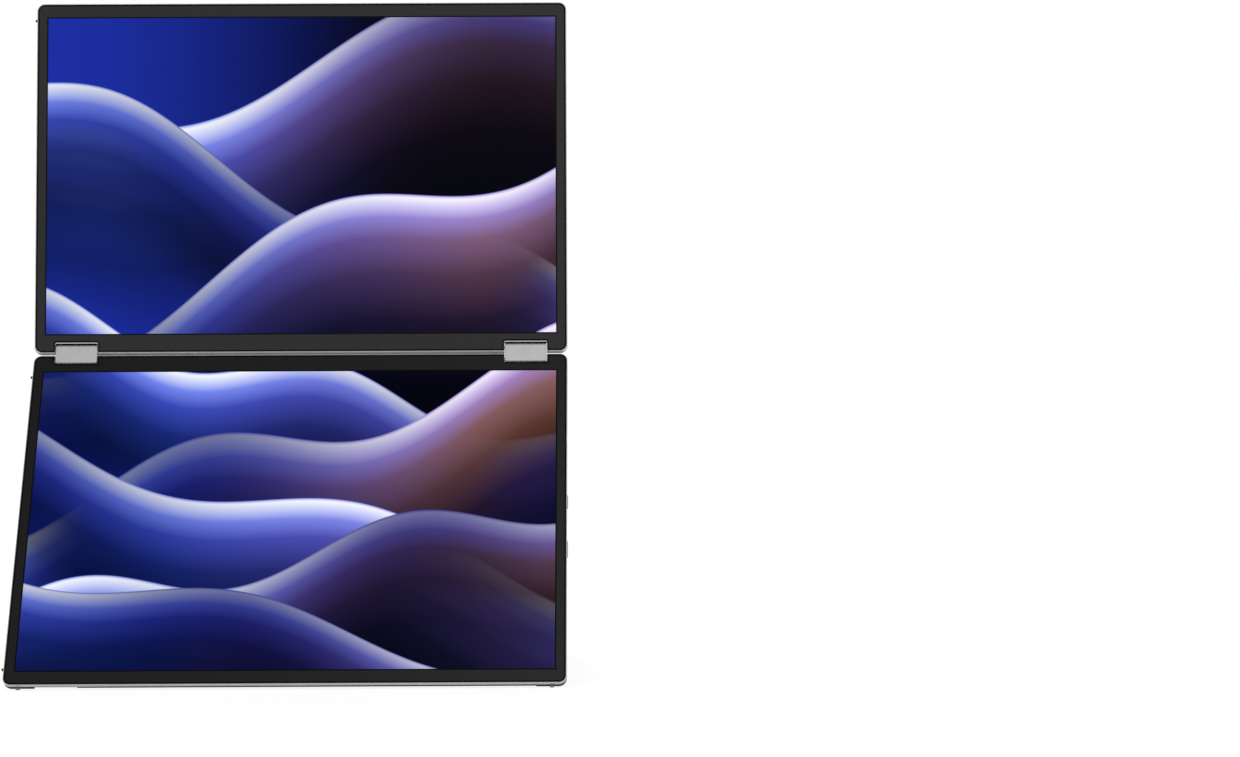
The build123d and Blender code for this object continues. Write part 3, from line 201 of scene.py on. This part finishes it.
# Crests of the picture from back to front, as shares of a screen's width and height:
# height at the left, rise to the right, swell, waves across, phase, reach below, light phase, warmth
CREST_SHARES = (
    (1.74, 0.42, 0.10, 1.1, 2.6, 0.74, 0.8, 0.9),
    (1.86, -0.62, 0.09, 1.3, 0.4, 0.56, 2.4, 0.3),
    (1.05, 0.66, 0.10, 1.2, 3.9, 0.66, 4.6, 0.8),
    (1.18, -0.40, 0.07, 1.7, 1.9, 0.60, 0.2, 0.2),
    (0.52, 0.52, 0.09, 1.4, 5.2, 0.75, 3.6, 1.0),
    (0.78, -0.50, 0.08, 1.2, 2.9, 0.62, 5.4, 0.3),
    (0.20, 0.34, 0.07, 1.6, 0.7, 0.60, 1.6, 0.9),
    (0.34, -0.36, 0.06, 1.3, 4.4, 0.45, 3.0, 0.5),
)
LOWER_START = 0.0               # where each screen starts, up the picture
UPPER_START = 1.1
RIM_SHARES = (-0.004, 0.003)    # soft edge of a crest
LIGHT_WAVES = 4.2               # of the light along a crest, in radians across
LIGHT_SHARES = (0.15, 1.0)      # from shade to full light
WARM_SHARES = (0.25, 0.85)      # from cool to warm, across
GLOW_SHARES = (0.30, 1.0)       # from night to blue, from right to left

# Its colours in linear light: sky, tint of the shade, then each dune from its crest down, cool and warm
NIGHT = (0.0003, 0.0005, 0.0040, 1)
DEEP_BLUE = (0.010, 0.026, 0.360, 1)
SHADE = (0.006, 0.022, 0.200, 1)
COOL_DUNE = (
    (0.000, (0.20, 0.30, 0.92, 1)), (0.014, (0.93, 0.95, 1.00, 1)), (0.050, (0.62, 0.69, 1.00, 1)),
    (0.110, (0.17, 0.24, 0.86, 1)), (0.210, (0.038, 0.066, 0.48, 1)), (0.380, (0.008, 0.021, 0.180, 0.95)),
    (0.600, (0.002, 0.007, 0.050, 0.7)), (0.900, (0.001, 0.001, 0.012, 0.0)),
)
WARM_DUNE = (
    (0.000, (0.42, 0.30, 0.82, 1)), (0.014, (0.97, 0.91, 0.99, 1)), (0.050, (0.70, 0.57, 0.94, 1)),
    (0.110, (0.38, 0.23, 0.52, 1)), (0.210, (0.250, 0.112, 0.120, 1)), (0.380, (0.104, 0.040, 0.027, 0.95)),
    (0.600, (0.018, 0.006, 0.009, 0.7)), (0.900, (0.001, 0.001, 0.004, 0.0)),
)
PICTURE_BASE = 0.0008
PICTURE_ROUGHNESS = 0.25
PICTURE_SPECULAR = 0.02

# Sockets of a mix node that carry colours
MIX_FIRST = 6
MIX_SECOND = 7
MIX_RESULT = 2


class Tree:
    """Shorthand for the nodes of one material or world."""

    def __init__(self, owner):
        owner.use_nodes = True
        self.nodes = owner.node_tree.nodes
        self.links = owner.node_tree.links
        self.nodes.clear()

    def add(self, kind, *inputs, named=(), **settings):
        """New node; an input is a value, a socket to link from, or None to leave it alone."""
        node = self.nodes.new(kind)
        for key, value in settings.items():
            setattr(node, key, value)
        for key, value in [*enumerate(inputs), *dict(named).items()]:
            if isinstance(value, bpy.types.NodeSocket):
                self.links.new(value, node.inputs[key])
            elif value is not None:
                node.inputs[key].default_value = value
        return node

    def math(self, operation, *values):
        return self.add("ShaderNodeMath", *values, operation=operation).outputs[0]

    def ramp(self, value, *stops, smooth=False):
        """Colour ramp through (place, colour) stops."""
        node = self.add("ShaderNodeValToRGB", value)
        node.color_ramp.interpolation = "EASE" if smooth else "LINEAR"
        elements = node.color_ramp.elements
        while len(elements) < len(stops):
            elements.new(1)
        for element, (place, colour) in zip(elements, stops):
            element.position = place
            element.color = colour
        return node

    def spread(self, value, low, high):
        """A value of 0 to 1 spread from low to high."""
        return self.add("ShaderNodeMapRange", value, 0, 1, low, high).outputs[0]

    def blend(self, share, first, second):
        """Colour between two others."""
        colours = {MIX_FIRST: first, MIX_SECOND: second}
        return self.add("ShaderNodeMix", share, named=colours, data_type="RGBA").outputs[MIX_RESULT]

    def noise(self, scale, detail, stretch=EVEN):
        """Noise in metres on the piece itself, so that it moves with the piece."""
        place = self.add("ShaderNodeTexCoord").outputs["Object"]
        place = self.add("ShaderNodeMapping", place, None, None, stretch).outputs[0]
        return self.add("ShaderNodeTexNoise", place, named={"Scale": scale, "Detail": detail}).outputs[0]

    def bump(self, height, strength, distance):
        return self.add("ShaderNodeBump", strength, distance, named={"Height": height}).outputs[0]

    def principled(self, sockets):
        """Principled shader with these sockets, on the surface."""
        self.surface(self.add("ShaderNodeBsdfPrincipled", named=sockets).outputs[0])

    def surface(self, shader):
        self.add("ShaderNodeOutputMaterial", shader)


def finish(name, dark, light, roughness, grain, bump, stretch=EVEN, **sockets):
    """Material whose roughness and bump vary with a fine grain, and its colour with a broad one."""
    material = bpy.data.materials.new(name)
    tree = Tree(material)
    fine = tree.noise(grain, FINE_DETAIL, stretch)
    broad = tree.noise(grain * BROAD_SHARE, BROAD_DETAIL)
    tree.principled({
        "Base Color": tree.ramp(broad, *zip(BROAD_ENDS, (dark, light))).outputs[0],
        "Roughness": tree.spread(fine, *roughness),
        "Normal": tree.bump(fine, *bump),
        **{key.replace("_", " "): value for key, value in sockets.items()},
    })
    return material


def board_finish():
    """Green solder mask over copper tracks."""
    material = bpy.data.materials.new("circuit_board")
    tree = Tree(material)
    place = tree.add("ShaderNodeTexCoord").outputs["Object"]
    tracks = tree.add("ShaderNodeTexBrick", place, *map(grey, TRACK_GREYS),
                      named={"Scale": TRACK_SCALE, "Mortar Size": TRACK_GAP}).outputs[0]
    worn = tree.noise(MASK_GRAIN, BROAD_DETAIL)
    level = tree.math("MULTIPLY", tracks, worn)
    tree.principled({
        "Base Color": tree.ramp(level, *MASK_STOPS).outputs[0],
        "Roughness": tree.spread(worn, *MASK_ROUGHNESS),
        "Normal": tree.bump(level, *MASK_BUMP),
    })
    return material


def make_finishes():
    """One procedural material for each slot of the record, apart from the glass."""
    finishes = {slot: finish(slot, **look) for slot, look in LOOKS.items()}
    finishes["circuit_board"] = board_finish()
    return finishes


def picture_finish():
    """Generic wallpaper: rim-lit dunes under a night sky, unbroken over both screens."""
    material = bpy.data.materials.new("screen_picture")
    tree = Tree(material)
    place = tree.add("ShaderNodeUVMap", uv_map="picture").outputs[0]
    across, up, _ = tree.add("ShaderNodeSeparateXYZ", place).outputs
    glow = tree.math("SUBTRACT", 1.0, across)
    colour = tree.ramp(glow, *zip(GLOW_SHARES, (NIGHT, DEEP_BLUE)), smooth=True).outputs[0]
    warm_side = tree.add("ShaderNodeMapRange", across, *WARM_SHARES, 0, 1).outputs[0]
    for low, rise, swell, waves, phase, reach, light_phase, warmth in CREST_SHARES:
        wave = tree.math("MULTIPLY_ADD", across, waves * math.tau, phase)
        wave = tree.math("MULTIPLY", tree.math("SINE", wave), swell)
        crest = tree.math("ADD", tree.math("MULTIPLY_ADD", across, rise, low), wave)
        depth = tree.math("DIVIDE", tree.math("SUBTRACT", crest, up), reach)
        cool = tree.ramp(depth, *COOL_DUNE)
        warm = tree.ramp(depth, *WARM_DUNE)
        body = tree.blend(tree.math("MULTIPLY", warm_side, warmth), cool.outputs[0], warm.outputs[0])
        light = tree.math("SINE", tree.math("MULTIPLY_ADD", across, LIGHT_WAVES, light_phase))
        light = tree.add("ShaderNodeMapRange", light, -1, 1, *LIGHT_SHARES).outputs[0]
        shade = tree.ramp(light, (0, SHADE), (1, grey(1.0))).outputs[0]
        lit = tree.add("ShaderNodeVectorMath", body, shade, operation="MULTIPLY").outputs[0]
        edge = tree.add("ShaderNodeMapRange", depth, *RIM_SHARES, 0, 1, interpolation_type="SMOOTHSTEP")
        cover = tree.math("MULTIPLY", edge.outputs[0], cool.outputs[1])
        colour = tree.blend(cover, colour, lit)
    tree.principled({
        "Base Color": grey(PICTURE_BASE),
        "Roughness": PICTURE_ROUGHNESS,
        "Specular IOR Level": PICTURE_SPECULAR,
        "Emission Color": colour,
        "Emission Strength": 1.0,
    })
    return material


def make_screen_finishes():
    """Materials of a screen's glass, in their order."""
    return finish("screen_border", **BORDER_LOOK), finish("screen_black_and_painted_shade", **BLACK_AND_SHADE_LOOK), picture_finish()


class Half:
    """A screen half's own axes: right, up along the glass and out to the viewer."""

    def __init__(self, name):
        self.name = name
        self.glass = NODES[f"{name}_cover_glass"]
        front = max((p for p in self.glass.data.polygons if p.normal.y < 0), key=lambda p: p.area)
        self.out = front.normal.normalized()
        axes = Matrix((X_AXIS, self.out.cross(X_AXIS), self.out)).transposed().to_4x4()
        self.matrix = Matrix.Translation((0, front.center.y, front.center.z)) @ axes
        self.inverse = self.matrix.inverted()
        low, high = self.box(f"{name}_screen_panel")
        self.low = low + Vector((PANEL_BORDER, PANEL_BORDER, 0))
        self.high = high - Vector((PANEL_BORDER, PANEL_BORDER, 0))

    def local(self, point):
        return self.inverse @ point

    def place(self, across, up):
        """Point on the front of the glass."""
        return self.matrix @ Vector((across, up, 0))

    def box(self, node):
        """Lowest and highest corner of a node along these axes."""
        spots = [self.local(vertex.co) for vertex in NODES[node].data.vertices]
        return (Vector([min(spot[i] for spot in spots) for i in range(3)]),
                Vector([max(spot[i] for spot in spots) for i in range(3)]))


def make_piece(name, bm, body, slot, *materials):
    """Object of the mesh, smooth where it is round, riding on a body."""
    mesh = bpy.data.meshes.new(name)
    bm.to_mesh(mesh)
    bm.free()
    mesh.shade_smooth()
    mesh.set_sharp_from_angle(angle=SMOOTH_ANGLE)
    for material in materials:
        mesh.materials.append(material)
    piece = bpy.data.objects.new(name, mesh)
    bpy.context.scene.collection.objects.link(piece)
    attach(piece, body)
    return piece


def make_glass(half, start, materials):
    """Cover glass with the lit picture as a face of its own, inside the printed border."""
    bm = bmesh.new()
    bm.from_mesh(half.glass.data)
    bmesh.ops.remove_doubles(bm, verts=bm.verts, dist=WELD)
    front = [f for f in bm.faces if f.normal.dot(half.out) > FACING
             and abs(half.local(f.calc_center_median()).z) < WELD]
    bmesh.ops.delete(bm, geom=front, context="FACES")
    rim = [e for e in bm.edges if e.is_boundary]
    corners = ((half.low.x, half.low.y), (half.high.x, half.low.y), (half.high.x, half.high.y),
               (half.low.x, half.high.y))
    window = [bm.verts.new(half.place(*corner)) for corner in corners]
    picture = bm.faces.new(window)
    filled = bmesh.ops.triangle_fill(bm, edges=rim + list(picture.edges), use_beauty=True)
    border = [g for g in filled["geom"] if isinstance(g, bmesh.types.BMFace)]
    inset = bmesh.ops.inset_region(bm, faces=border, thickness=BLACK_LINE, use_boundary=True,
                                   use_even_offset=True)
    bmesh.ops.recalc_face_normals(bm, faces=bm.faces)
    for face in inset["faces"]:
        face.material_index = BLACK
    picture.material_index = PICTURE
    uv = bm.loops.layers.uv.new("picture")
    for loop in picture.loops:
        spot = half.local(loop.vert.co)
        loop[uv].uv = ((spot.x - half.low.x) / (half.high.x - half.low.x),
                       start + (spot.y - half.low.y) / (half.high.y - half.low.y))
    piece = make_piece(f"{half.name}_screen", bm, half.name, "screen_glass", *materials)
    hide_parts(f"{half.name}_cover_glass")


def make_contacts(half, socket, material):
    """Gilt contacts along both faces of a socket's tongue."""
    count, pitch, tongue_thick, tongue_length = SOCKETS[socket]
    low, high = half.box(socket)
    middle = (low + high) / 2
    size = Vector((tongue_length * CONTACT_LENGTH_SHARE, pitch * CONTACT_WIDTH_SHARE,
                   CONTACT_PROUD + CONTACT_SUNK))
    bm = bmesh.new()
    for side in (-1, 1):
        for index in range(count):
            spot = Vector((low.x + SOCKET_FLOOR + size.x / 2,
                           middle.y + (index - (count - 1) / 2) * pitch,
                           middle.z + side * (tongue_thick + CONTACT_PROUD - CONTACT_SUNK) / 2))
            bmesh.ops.create_cube(bm, size=1, matrix=half.matrix @ Matrix.LocRotScale(spot, None, size))
    bmesh.ops.bevel(bm, geom=bm.edges[:], offset=CONTACT_BEVEL, segments=CONTACT_SEGMENTS, affect="EDGES")
    make_piece(f"{socket}_contacts", bm, half.name, "brass", material)


def make_thread(half, material):
    """Thread ridge down the bore of the tripod bush, one closed helix."""
    low, high = half.box("tripod_bush")
    middle = (low + high) / 2
    root = ROOT_SHARE * THREAD_PITCH
    crest = CREST_SHARE * THREAD_PITCH
    profile = ((BORE_RADIUS + THREAD_SUNK, -root), (BORE_RADIUS - THREAD_HEIGHT, -crest),
               (BORE_RADIUS - THREAD_HEIGHT, crest), (BORE_RADIUS + THREAD_SUNK, root))
    bm = bmesh.new()
    rings = []
    for step in range(round((THREAD_LENGTH - 2 * root) / THREAD_PITCH * THREAD_STEPS) + 1):
        turn = math.tau * step / THREAD_STEPS
        along = low.z + root + THREAD_PITCH * step / THREAD_STEPS
        rings.append([bm.verts.new(half.matrix @ Vector((middle.x + radius * math.cos(turn),
                                                         middle.y + radius * math.sin(turn),
                                                         along + offset)))
                      for radius, offset in profile])
    corners = len(profile)
    for first, second in zip(rings, rings[1:]):
        for i in range(corners):
            after = (i + 1) % corners
            bm.faces.new((first[i], first[after], second[after], second[i]))
    bm.faces.new(rings[0])
    bm.faces.new(rings[-1])
    bmesh.ops.recalc_face_normals(bm, faces=bm.faces)
    make_piece("tripod_thread", bm, half.name, "brass", material)


def add_prism(bm, half, outline, low_x, high_x):
    """Closed prism across the half, from an outline of (up, out) points."""
    ends = [[bm.verts.new(half.matrix @ Vector((x, *point))) for point in outline] for x in (low_x, high_x)]
    bm.faces.new(ends[0])
    bm.faces.new(ends[1])
    count = len(outline)
    for i in range(count):
        after = (i + 1) % count
        bm.faces.new((ends[0][i], ends[0][after], ends[1][after], ends[1][i]))


def make_hinge_painted_shade(half, material):
    """Painted shade: a dark round end on each hinge block, and a dark lip behind it that shuts the gap of the
    notch.
    """
    low, high = half.box("upper_hinge_shafts")
    axis = (low + high) / 2
    spread = math.acos(END_CHORD / END_RADIUS)
    turns = [spread * (2 * step / END_STEPS - 1) + LINK_TURN for step in range(END_STEPS + 1)]
    arc = [(axis.y + END_RADIUS * math.cos(turn), axis.z + END_RADIUS * math.sin(turn)) for turn in turns]
    lip = [(axis.y + up, axis.z - back) for up, back in ((LIP_TOP, LIP_BACK[0]), (LIP_BOTTOM, LIP_BACK[0]),
                                                         (LIP_BOTTOM, LIP_BACK[1]), (LIP_TOP, LIP_BACK[1]))]
    ends = bmesh.new()
    lips = bmesh.new()
    for side in SIDES:
        low, high = half.box(f"hinge_cover_{side}")
        add_prism(ends, half, arc, low.x + END_SIDE, high.x - END_SIDE)
        add_prism(lips, half, lip, low.x - LIP_SIDE, high.x + LIP_SIDE)
    for bm, name, body in ((ends, "hinge_ends_painted_shade", "hinge_links"), (lips, "notch_lips_painted_shade", half.name)):
        bmesh.ops.recalc_face_normals(bm, faces=bm.faces)
        make_piece(name, bm, body, "dark_cover", material)


def dress_frame(finishes):
    """Gives each node the finish of its slot; the glass is replaced by pieces of its own."""
    for name, node in NODES.items():
        if SLOT_OF[name] in finishes:
            node.data.materials.clear()
            node.data.materials.append(finishes[SLOT_OF[name]])
    NODES["lower_feet"].data.materials[0] = finish("foot_silicone", **FOOT_LOOK)


def paint_notch_shade(half, material):
    """Painted shade: the walls inside the notches that take the hinge blocks get the black material."""
    mesh = NODES[f"{half.name}_frame"].data
    black = len(mesh.materials)
    mesh.materials.append(material)
    blocks = [half.box(f"hinge_cover_{side}") for side in SIDES]
    for face in mesh.polygons:
        spot = half.local(face.center)
        for low, high in blocks:
            near = all(low[i] - NOTCH_MARGIN < spot[i] < high[i] + NOTCH_MARGIN for i in range(2))
            if near and face.normal.dot(half.out) < NOTCH_FACING:
                face.material_index = black


def make_floor():
    """Pale floor that keeps the shadow and fades into the white surroundings."""
    bm = bmesh.new()
    bmesh.ops.create_circle(bm, cap_ends=True, segments=FLOOR_SEGMENTS, radius=FLOOR_RADIUS)
    mesh = bpy.data.meshes.new("floor")
    bm.to_mesh(mesh)
    bm.free()
    floor = bpy.data.objects.new("floor", mesh)
    floor.location.z = -FLOOR_DROP
    bpy.context.scene.collection.objects.link(floor)
    material = bpy.data.materials.new("floor")
    tree = Tree(material)
    place = tree.add("ShaderNodeTexCoord").outputs["Object"]
    away = tree.add("ShaderNodeVectorMath", place, operation="LENGTH").outputs["Value"]
    fade = tree.add("ShaderNodeMapRange", away, *FLOOR_FADE, 0, 1, interpolation_type="SMOOTHSTEP").outputs[0]
    path = tree.add("ShaderNodeLightPath").outputs
    seen = tree.math("MAXIMUM", path["Is Camera Ray"], path["Is Glossy Ray"])
    seen = tree.math("MAXIMUM", seen, path["Is Transmission Ray"])
    lift = tree.math("MULTIPLY", seen, FLOOR_LIFT)
    lit = tree.add("ShaderNodeAddShader", tree.add("ShaderNodeBsdfDiffuse", grey(FLOOR_GREY)).outputs[0],
                   tree.add("ShaderNodeEmission", grey(1.0), lift).outputs[0]).outputs[0]
    clear = tree.add("ShaderNodeBsdfTransparent").outputs[0]
    tree.surface(tree.add("ShaderNodeMixShader", fade, lit, clear).outputs[0])
    mesh.materials.append(material)


def make_world():
    """White surroundings at eye level that darken overhead."""
    world = bpy.data.worlds.new("studio")
    bpy.context.scene.world = world
    tree = Tree(world)
    direction = tree.add("ShaderNodeTexCoord").outputs["Generated"]
    height = tree.add("ShaderNodeSeparateXYZ", direction).outputs["Z"]
    sky = tree.ramp(height, *((place, grey(level)) for place, level in SKY_STOPS)).outputs[0]
    tree.add("ShaderNodeOutputWorld", tree.add("ShaderNodeBackground", sky, 1.0).outputs[0])


def make_lamps():
    """Soft lamps round the object."""
    middle = (cad_box[0] + cad_box[1]) / 2
    for name, (place, size, power) in LAMPS.items():
        data = bpy.data.lights.new(name, "AREA")
        data.size = size
        data.energy = power
        lamp = bpy.data.objects.new(name, data)
        lamp.location = place
        lamp.rotation_mode = "QUATERNION"
        lamp.rotation_quaternion = (middle - Vector(place)).to_track_quat("-Z", "Y")
        bpy.context.scene.collection.objects.link(lamp)


def make_camera():
    """Camera at the photo's point of view."""
    data = bpy.data.cameras.new("camera")
    data.sensor_width = SENSOR_WIDTH
    data.lens = FOCAL_PIXELS * SENSOR_WIDTH / PHOTO_WIDTH
    camera = bpy.data.objects.new("camera", data)
    camera.matrix_world = (Matrix.Translation(CAMERA_PLACE)
                           @ Matrix.Rotation(math.radians(CAMERA_YAW), 4, "Z")
                           @ Matrix.Rotation(math.radians(LEVEL - CAMERA_PITCH), 4, "X")
                           @ Matrix.Rotation(math.radians(CAMERA_ROLL), 4, "Z"))
    bpy.context.scene.collection.objects.link(camera)
    bpy.context.scene.camera = camera


bpy.context.scene.view_settings.view_transform = "Standard"
finishes = make_finishes()
dress_frame(finishes)
screen_finishes = make_screen_finishes()
lower = Half("lower")
upper = Half("upper")
make_glass(lower, LOWER_START, screen_finishes)
make_glass(upper, UPPER_START, screen_finishes)
# Painted shade: the notch walls take the black of the glass edge
for half in (lower, upper):
    paint_notch_shade(half, screen_finishes[BLACK])
for socket in SOCKETS:
    make_contacts(lower, socket, finishes["brass"])
make_thread(lower, finishes["brass"])
# Painted shade: dark round ends on the hinge blocks and dark lips behind them
make_hinge_painted_shade(upper, screen_finishes[BLACK])
make_floor()
make_world()
make_lamps()
make_camera()
